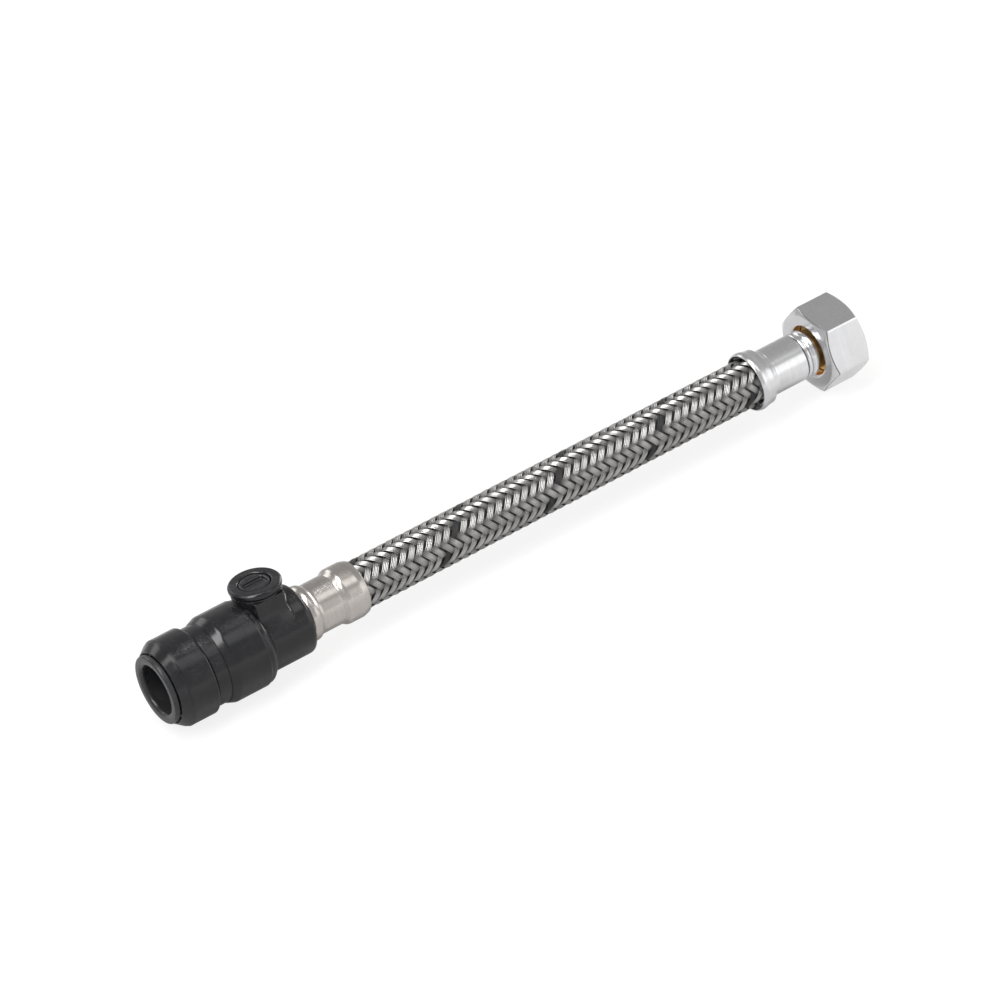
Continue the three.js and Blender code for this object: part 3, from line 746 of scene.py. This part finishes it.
def makeFarTail(size):
    barbs = []
    for i in range(size["barbs"]):
        start = size["firstBarb"] + size["barbPitch"] * i
        barbs += [(start, size["root"]), (start + 3.7, size["barb"])]
    bead = size["beadFront"]
    return turnedPiece("farTailPiece", rounded([
        (size["front"], size["bore"]), (size["front"], size["root"]), (size["front"] + 0.9, size["barb"]),
        *barbs,
        (size["flangeFront"], size["root"]), (size["flangeFront"], size["flange"]),
        (size["shankFront"], size["shank"]), (bead, size["shank"]), (bead, size["bead"] - 0.4, 0.2),
        (bead + 0.25, size["bead"] - 0.08, 0.2), (bead + 1.0, size["bead"], 0.3),
        (bead + 1.6, size["bead"] - 0.2, 0.3),
        (bead + 1.85, size["bead"] - 0.45, 0.25), (bead + 2.1, size["bead"] - 0.2, 0.25),
        (bead + 2.7, size["bead"] + 0.05, 0.3), (bead + 3.6, size["bead"], 0.4),
        (size["beadEnd"] - 0.35, size["bead"] - 0.4, 0.3), (size["beadEnd"], size["neck"]),
        (size["seatFront"], size["neck"]), (size["seatFront"], size["seat"]), (size["end"], size["seat"]),
        (size["end"], size["bore"]),
    ], 0.12, 3), 160)


washerSize = {"front": 246.3, "end": 248.7, "hole": 5.0, "radius": 9.0}


def makeSealingWasher(size):
    return turnedPiece("sealPiece", rounded([
        (size["front"], size["hole"]), (size["front"], size["radius"]), (size["end"], size["radius"]),
        (size["end"], size["hole"]),
    ], 0.3, 4), 128)


settle(makeNearFerrule(nearFerruleSize), "connector", "nickel", metals["nickel"], "near_ferrule")
settle(makeFarFerrule(farFerruleSize), "connector", "ferrule_chrome", metals["ferruleChrome"], "far_ferrule")
settle(makeFarTail(farTailSize), "connector", "tail_chrome", metals["tailChrome"], "far_tail")
settle(makeSealingWasher(washerSize), "connector", "black_rubber", blackRubber, "sealing_washer")
print("ferrules and tail ready")


# Union nut

nutSize = {
    "start": 240.4, "end": 254.5, "flats": 25.0, "face": 12.05, "backHole": 8.1, "countersink": 9.0,
    "lipRound": 1.1, "shoulder": 243.7, "minor": 9.3, "depth": 0.88, "pitch": 1.814, "threadStart": 249.0,
    "threadSteps": 44, "mouth": 10.5, "bevel": 30.0, "firstFlat": 106.0, "cornerPower": 90.0,
    "segments": 360, "edgeColumn": 12, "plated": 0.45,
}


def nutReach(size, angle):
    total = 0.0
    for k in range(6):
        c = math.cos(angle - math.radians(size["firstFlat"] + 60 * k))
        total += max(0.0, c) ** size["cornerPower"]
    return size["flats"] / 2 / total ** (1 / size["cornerPower"])


def nutThread(size, angle):
    # Crests and roots along one side of the hole, fading out at the foot of the thread.
    first = size["end"] - 0.2
    loop = []
    for i in range(size["threadSteps"] + 1):
        x = first - (first - size["threadStart"]) * i / size["threadSteps"]
        wave = ((x / size["pitch"] - angle / (2 * math.pi)) % 1.0) * 2
        height = min(1.0, max(0.0, 1.35 * (1 - abs(wave - 1)) - 0.15))
        fade = min(1.0, (x - size["threadStart"]) / 0.5)
        cone = size["mouth"] - 0.1 - (first - x) * 0.9
        loop.append((x, max(size["minor"] + size["depth"] * height * fade, cone)))
    return loop


def makeNut(size):
    slope = math.tan(math.radians(size["bevel"]))
    start, end, lip = size["start"], size["end"], size["lipRound"]
    lipTurns = [math.pi / 2 * i / 6 for i in range(7)]
    lipArc = [
        (start + lip * (1 - math.sin(t)), size["countersink"] + 0.2 - lip * math.cos(t))
        for t in lipTurns
    ]
    verts = []
    columns = 0
    for k in range(size["segments"]):
        angle = 2 * math.pi * k / size["segments"]
        reach = nutReach(size, angle)
        drop = max(0.22, (reach - size["face"]) * slope)
        loop = [
            (size["shoulder"], size["backHole"]), (start + 1.3, size["backHole"]), *lipArc,
            (start, size["face"] - 0.15), (start + 0.04, size["face"] + 0.02),
            (start + drop - 0.14, reach - 0.24), (start + drop - 0.02, reach - 0.1),
            (start + drop + 0.26, reach), (start + drop + 0.8, reach), ((start + end) / 2, reach),
            (end - drop - 0.8, reach), (end - drop - 0.12, reach), (end - drop - 0.02, reach - 0.02),
            (end - drop + 0.06, reach - 0.1), (end - 0.04, size["face"] + 0.02), (end, size["face"] - 0.15),
            (end, size["mouth"] + 0.15), (end - 0.1, size["mouth"]),
            *nutThread(size, angle),
            (size["threadStart"] - 0.3, size["minor"]), (size["shoulder"] + 0.1, size["minor"]),
            (size["shoulder"], size["minor"] - 0.1),
        ]
        columns = len(loop)
        verts += [circlePoint(x, r, angle) for x, r in loop]
    faces = loopFaces(size["segments"], columns, True)
    return finishMesh("nutPiece", verts, faces, 24)


nut = settle(makeNut(nutSize), "swivel_nut", "nut_chrome", metals["nutChrome"], "union_nut")
nut.data.materials.append(metals["rawBrass"])
nut.data.materials.append(metals["paintedEdgeReflection"])
nutColumns = len(nut.data.polygons) // nutSize["segments"]
for face in nut.data.polygons:
    # The plating stops inside the hole and the mouth, where bare brass shows.
    radius = math.hypot(face.center.y, face.center.z - axisHeight / 1000) * 1000
    fromEnd = min(face.center.x * 1000 + overall / 2 - nutSize["start"], overall / 2 - face.center.x * 1000)
    if radius < nutSize["mouth"] - 0.2 and fromEnd > nutSize["plated"]:
        face.material_index = 1
    # The thin strip where the chamfer cuts a flat gets dark chrome: a painted dark reflection of that edge.
    elif face.index % nutColumns == nutSize["edgeColumn"]:
        face.material_index = 2  # fine dark line where the chamfer cuts a flat
print("nut ready")


# Hose

hoseSize = {
    "first": 65.2, "last": 219.6, "lead": 38.2, "zero": 97.16, "zeroAngle": 202.55,
    "middle": 7.26, "lift": 0.3, "flatten": 1.35, "crown": 0.17, "wire": 0.21, "wires": 4, "spread": 0.46,
    "strands": 12, "steps": 250, "wireSides": 4, "seed": 11, "drift": 0.1, "loose": 0.02, "uneven": 0.03,
    "pathFirst": 64.9, "pathLast": 219.8, "pathSteps": 24,
}


def strandHeight(size, turn, direction):
    # The wave that takes a strand over two and under two of the other direction.
    weave = math.cos(2 * math.pi * (turn / 15 - 0.5) / 4)
    return math.copysign(min(1.0, abs(weave) * size["flatten"]), weave) * direction


def wireLoop(size, direction, strand, wire, x, shift, rise):
    # The half ring of points round one wire, at one place along the hose.
    slant = math.atan(2 * math.pi * size["middle"] / size["lead"])
    turn = direction * 360 * (x - size["zero"]) / size["lead"] + 30 * strand
    edge = abs(wire - (size["wires"] - 1) / 2) / (size["wires"] / 2)
    radius = size["middle"] + size["lift"] * strandHeight(size, turn, direction) + rise
    radius -= size["crown"] * edge ** 2
    along = x - direction * shift * math.sin(slant)
    angle = math.radians(size["zeroAngle"] - turn) - shift * math.cos(slant) / radius
    loop = []
    for j in range(size["wireSides"]):
        a = math.pi * j / (size["wireSides"] - 1)
        side = size["wire"] * math.cos(a)
        loop.append(circlePoint(
            along - direction * side * math.sin(slant),
            radius + size["wire"] * math.sin(a),
            angle - side * math.cos(slant) / radius))
    return loop


def strandWires(name, size, direction, chosen):
    # The wires of a strand lie side by side and stray a little, each by its own amount.
    rng = random.Random(size["seed"] + direction)
    across = size["wireSides"]
    verts, faces = [], []
    for strand in range(size["strands"]):
        drift = rng.uniform(-size["drift"], size["drift"])
        loose = [rng.uniform(-size["loose"], size["loose"]) for _ in range(size["wires"])]
        rise = [rng.uniform(-size["uneven"], size["uneven"]) for _ in range(size["wires"])]
        if strand not in chosen:
            continue
        for wire in range(size["wires"]):
            aside = (wire - (size["wires"] - 1) / 2) * size["spread"] + loose[wire]
            base = len(verts)
            for k in range(size["steps"] + 1):
                x = size["first"] + (size["last"] - size["first"]) * k / size["steps"]
                wander = drift + 0.05 * math.sin(x * 0.21 + strand * 1.7 + wire * 0.4)
                verts += wireLoop(size, direction, strand, wire, x, aside + wander, rise[wire])
            for k in range(size["steps"]):
                for j in range(across - 1):
                    a = base + k * across + j
                    faces.append((a, a + across, a + across + 1, a + 1))
    piece = finishMesh(name, verts, faces, closed=False)
    outward = Vector(piece.data.polygons[0].center) - Vector(place(size["first"], 0, 0))
    outward.x = 0
    if piece.data.polygons[1].normal.dot(outward) < 0:
        piece.data.flip_normals()
    return piece


def braidMaterial(name, look):
    material, tree, shader, where = startMaterial(name)
    streaks = noiseNode(tree, where, look["streak"], 3.0, 0.6)
    shade = rangeNode(tree, streaks, 0.3, 0.7)
    dull = rangeNode(tree, noiseNode(tree, where, 160.0, 3.0, 0.5), 0.35, 0.65)
    colour = mixColor(tree, shade, look["colour"], look["bright"])
    colour = mixColor(tree, mathNode(tree, "MULTIPLY", dull, look["dulling"]), colour, look["dullColour"])
    # Painted shade: where a strand dives under its neighbours its colour is darkened, measured from the hose
    # axis.
    split = tree.nodes.new("ShaderNodeSeparateXYZ")
    tree.links.new(where, split.inputs[0])
    upright = mathNode(tree, "SUBTRACT", split.outputs["Z"], axisHeight / 1000)
    sideSquare = mathNode(tree, "MULTIPLY", split.outputs["Y"], split.outputs["Y"])
    square = mathNode(tree, "ADD", sideSquare, mathNode(tree, "MULTIPLY", upright, upright))
    depth = rangeNode(tree, mathNode(tree, "SQRT", square), look["low"] / 1000, look["high"] / 1000)
    colour = mixColor(tree, depth, look["paintedShadeColour"], colour)
    tree.links.new(colour, shader.inputs["Base Color"])
    rough = rangeNode(tree, dull, 0.0, 1.0, look["roughness"], look["roughness"] + 0.12)
    tree.links.new(rough, shader.inputs["Roughness"])
    shader.inputs["Metallic"].default_value = look["metallic"]
    tree.links.new(bumpNode(tree, streaks, 0.03, reliefDepth["wire"]), shader.inputs["Normal"])
    return material


# The deep colour is painted shade where strands dive under their neighbours.
steelWire = braidMaterial("braidSteel", {
    "colour": (0.52, 0.51, 0.50), "bright": (0.64, 0.63, 0.62), "dulling": 0.35,
    "dullColour": (0.30, 0.29, 0.285), "paintedShadeColour": (0.03, 0.029, 0.028), "low": 7.06, "high": 7.74,
    "roughness": 0.2, "metallic": 1.0, "streak": 2600.0})
tracerWire = braidMaterial("tracerYarn", {
    "colour": (0.008, 0.008, 0.009), "bright": (0.030, 0.030, 0.032), "dulling": 0.3,
    "dullColour": (0.03, 0.03, 0.03), "paintedShadeColour": (0.004, 0.004, 0.004), "low": 7.0, "high": 7.5,
    "roughness": 0.4, "metallic": 0.0, "streak": 2600.0})

coverSize = {
    "front": 55.3, "swell": 63.0, "full": 64.8, "end": 220.4, "hole": 6.5, "crimped": 6.85, "radius": 6.95,
}


def makeHoseCover(size):
    return turnedPiece("hoseCoverPiece", rounded([
        (size["front"], size["hole"]), (size["front"], size["crimped"]), (size["swell"], size["crimped"]),
        (size["full"], size["radius"]), (size["end"] - 0.5, size["radius"]), (size["end"], size["crimped"]),
        (size["end"], size["hole"]),
    ], 0.1, 2), 96)


cover = settle(makeHoseCover(coverSize), "connector", "black_rubber", blackRubber)
risingWires = settle(
    strandWires("braidRising", hoseSize, 1, range(1, hoseSize["strands"])),
    "connector", "braid_steel", steelWire, "braid_sleeve")
fallingWires = settle(
    strandWires("braidFalling", hoseSize, -1, range(hoseSize["strands"])),
    "connector", "braid_steel", steelWire)
tracer = settle(strandWires("braidTracer", hoseSize, 1, (0,)), "connector", "black_rubber", tracerWire)

print("hose ready")


# Inner pieces keep their solid shapes and take a finish

innerFinish = {
    "grab_ring": metals["springSteel"], "spacer_washer": blackRubber, "socket_seal": blackRubber,
    "valve_ball": metals["ballChrome"], "ball_seat_front": seatWhite, "ball_seat_rear": seatWhite,
    "spindle_seal": blackRubber, "near_tail": metals["tailBrass"], "hose_liner": blackRubber,
}
for nodeName, finish in innerFinish.items():
    nodes[nodeName].data.materials.clear()
    nodes[nodeName].data.materials.append(finish)
print("inner pieces finished")


# Studio

studioLook = {
    "levels": ((-1.0, 0.7), (0.0, 0.62), (0.25, 0.56), (0.5, 0.45), (0.8, 0.42), (1.0, 0.40)),
    "front": 1.05, "back": 0.8, "floorWhite": 0.55, "floorGlow": 1.2, "floorReach": 8,
    "seenLift": 0.7, "shadowEdge": 0.2, "whiteEdge": 0.45, "nearEdge": 0.04, "farEdge": 0.16,
    # Floor glow seen by metal: painted shade close to the object, a painted pool of light under the nut.
    "mirrorNear": 0.1, "paintedNutGlow": 0.48, "nutEdges": (0.106, 0.118), "mirrorFront": 0.62, "mirrorBack": 0.1,
}
lamps = {
    "keyLamp": {"from": (-0.39, -0.18, 1.13), "size": (0.46, 1.42), "power": 13.8},
    "leftLamp": {"from": (-0.95, 0.16, 0.98), "size": (0.24, 0.3), "power": 0.8},
    "topLamp": {"from": (0.36, -0.5, 0.98), "size": (0.34, 0.5), "power": 0.6},
    "frontPanel": {"from": (0.56, -0.62, 0.24), "size": (0.55, 0.46), "power": 0.66},
    "sideLamp": {"from": (1.25, 0.28, 0.24), "size": (0.9, 0.42), "power": 5.0},
    "backLamp": {"from": (-0.3, 1.25, 0.8), "size": (1.2, 0.6), "power": 3.6},
}


def makeWorld(look):
    world = bpy.data.worlds.new("studioWorld")
    scene.world = world
    world.use_nodes = True
    tree = world.node_tree
    tree.nodes.clear()
    direction = tree.nodes.new("ShaderNodeTexCoord").outputs["Generated"]
    split = tree.nodes.new("ShaderNodeSeparateXYZ")
    tree.links.new(direction, split.inputs[0])
    ramp = tree.nodes.new("ShaderNodeValToRGB")
    stops = ramp.color_ramp.elements
    for i, (height, level) in enumerate(look["levels"]):
        stop = stops[i] if i < len(stops) else stops.new(0.5)
        stop.position = (height + 1) / 2
        stop.color = (level, level, level, 1)
    tree.links.new(rangeNode(tree, split.outputs["Z"], -1.0, 1.0), ramp.inputs[0])
    facing = rangeNode(tree, split.outputs["Y"], -0.8, 0.8, look["front"], look["back"])
    level = mathNode(tree, "MULTIPLY", ramp.outputs[0], facing)
    light = tree.nodes.new("ShaderNodeBackground")
    tree.links.new(level, light.inputs["Color"])
    light.inputs["Strength"].default_value = 1.0
    white = tree.nodes.new("ShaderNodeBackground")
    white.inputs["Color"].default_value = (1, 1, 1, 1)
    white.inputs["Strength"].default_value = 1.0
    path = tree.nodes.new("ShaderNodeLightPath")
    mix = tree.nodes.new("ShaderNodeMixShader")
    tree.links.new(path.outputs["Is Camera Ray"], mix.inputs["Fac"])
    tree.links.new(light.outputs[0], mix.inputs[1])
    tree.links.new(white.outputs[0], mix.inputs[2])
    out = tree.nodes.new("ShaderNodeOutputWorld")
    tree.links.new(mix.outputs[0], out.inputs["Surface"])


def makeLamp(name, look):
    data = bpy.data.lights.new(name, "AREA")
    data.shape = "RECTANGLE"
    data.size, data.size_y = look["size"]
    data.energy = look["power"]
    lamp = bpy.data.objects.new(name, data)
    scene.collection.objects.link(lamp)
    lamp.location = look["from"]
    lamp.rotation_euler = (-Vector(look["from"])).to_track_quat("-Z", "Y").to_euler()
    return lamp


def makeFloor(look):
    work = bmesh.new()
    bmesh.ops.create_grid(work, x_segments=4, y_segments=4, size=look["floorReach"])
    mesh = bpy.data.meshes.new("studioFloor")
    work.to_mesh(mesh)
    work.free()
    floor = bpy.data.objects.new("studioFloor", mesh)
    scene.collection.objects.link(floor)
    material = bpy.data.materials.new("floorWhite")
    material.use_nodes = True
    tree = material.node_tree
    tree.nodes.clear()
    plain = tree.nodes.new("ShaderNodeBsdfDiffuse")
    plain.inputs["Color"].default_value = (*[look["floorWhite"]] * 3, 1)
    glow = tree.nodes.new("ShaderNodeEmission")
    glow.inputs["Strength"].default_value = look["floorGlow"]
    path = tree.nodes.new("ShaderNodeLightPath")
    seen = mathNode(tree, "MAXIMUM", path.outputs["Is Camera Ray"], path.outputs["Is Transmission Ray"])
    # Metal sees a floor glow that is painted by position: dimmer close to the object, as painted shade where
    # the object itself shades it, and brighter in front than behind.
    split = tree.nodes.new("ShaderNodeSeparateXYZ")
    tree.links.new(tree.nodes.new("ShaderNodeTexCoord").outputs["Object"], split.inputs[0])
    aside = mathNode(tree, "ABSOLUTE", split.outputs["Y"])
    beyond = mathNode(tree, "SUBTRACT", mathNode(tree, "ABSOLUTE", split.outputs["X"]), overall / 2000)
    reach = mathNode(tree, "MAXIMUM", aside, beyond)
    side = rangeNode(tree, split.outputs["Y"], -0.15, 0.15, look["mirrorFront"], look["mirrorBack"])
    away = rangeNode(tree, reach, look["nearEdge"], look["farEdge"])
    # Painted pool of light on the floor under the nut, seen by metal only.
    close = rangeNode(tree, split.outputs["X"], *look["nutEdges"], look["mirrorNear"], look["paintedNutGlow"])
    mirror = mathNode(tree, "ADD", mathNode(tree, "MULTIPLY", side, away), mathNode(
        tree, "MULTIPLY", mathNode(tree, "SUBTRACT", 1.0, away), close))
    mirror = mathNode(tree, "MULTIPLY", mirror, path.outputs["Is Glossy Ray"])
    # The camera sees the shadow near the object and plain white further off.
    white = rangeNode(tree, reach, look["shadowEdge"], look["whiteEdge"], look["seenLift"], 1.0)
    lift = mathNode(tree, "MAXIMUM", mirror, mathNode(tree, "MULTIPLY", seen, white))
    mix = tree.nodes.new("ShaderNodeMixShader")
    tree.links.new(lift, mix.inputs["Fac"])
    tree.links.new(plain.outputs[0], mix.inputs[1])
    tree.links.new(glow.outputs[0], mix.inputs[2])
    out = tree.nodes.new("ShaderNodeOutputMaterial")
    tree.links.new(mix.outputs[0], out.inputs["Surface"])
    mesh.materials.append(material)


makeWorld(studioLook)
for lampName, lampLook in lamps.items():
    makeLamp(lampName, lampLook)
makeFloor(studioLook)
scene.view_settings.view_transform = "Standard"
print("studio ready")
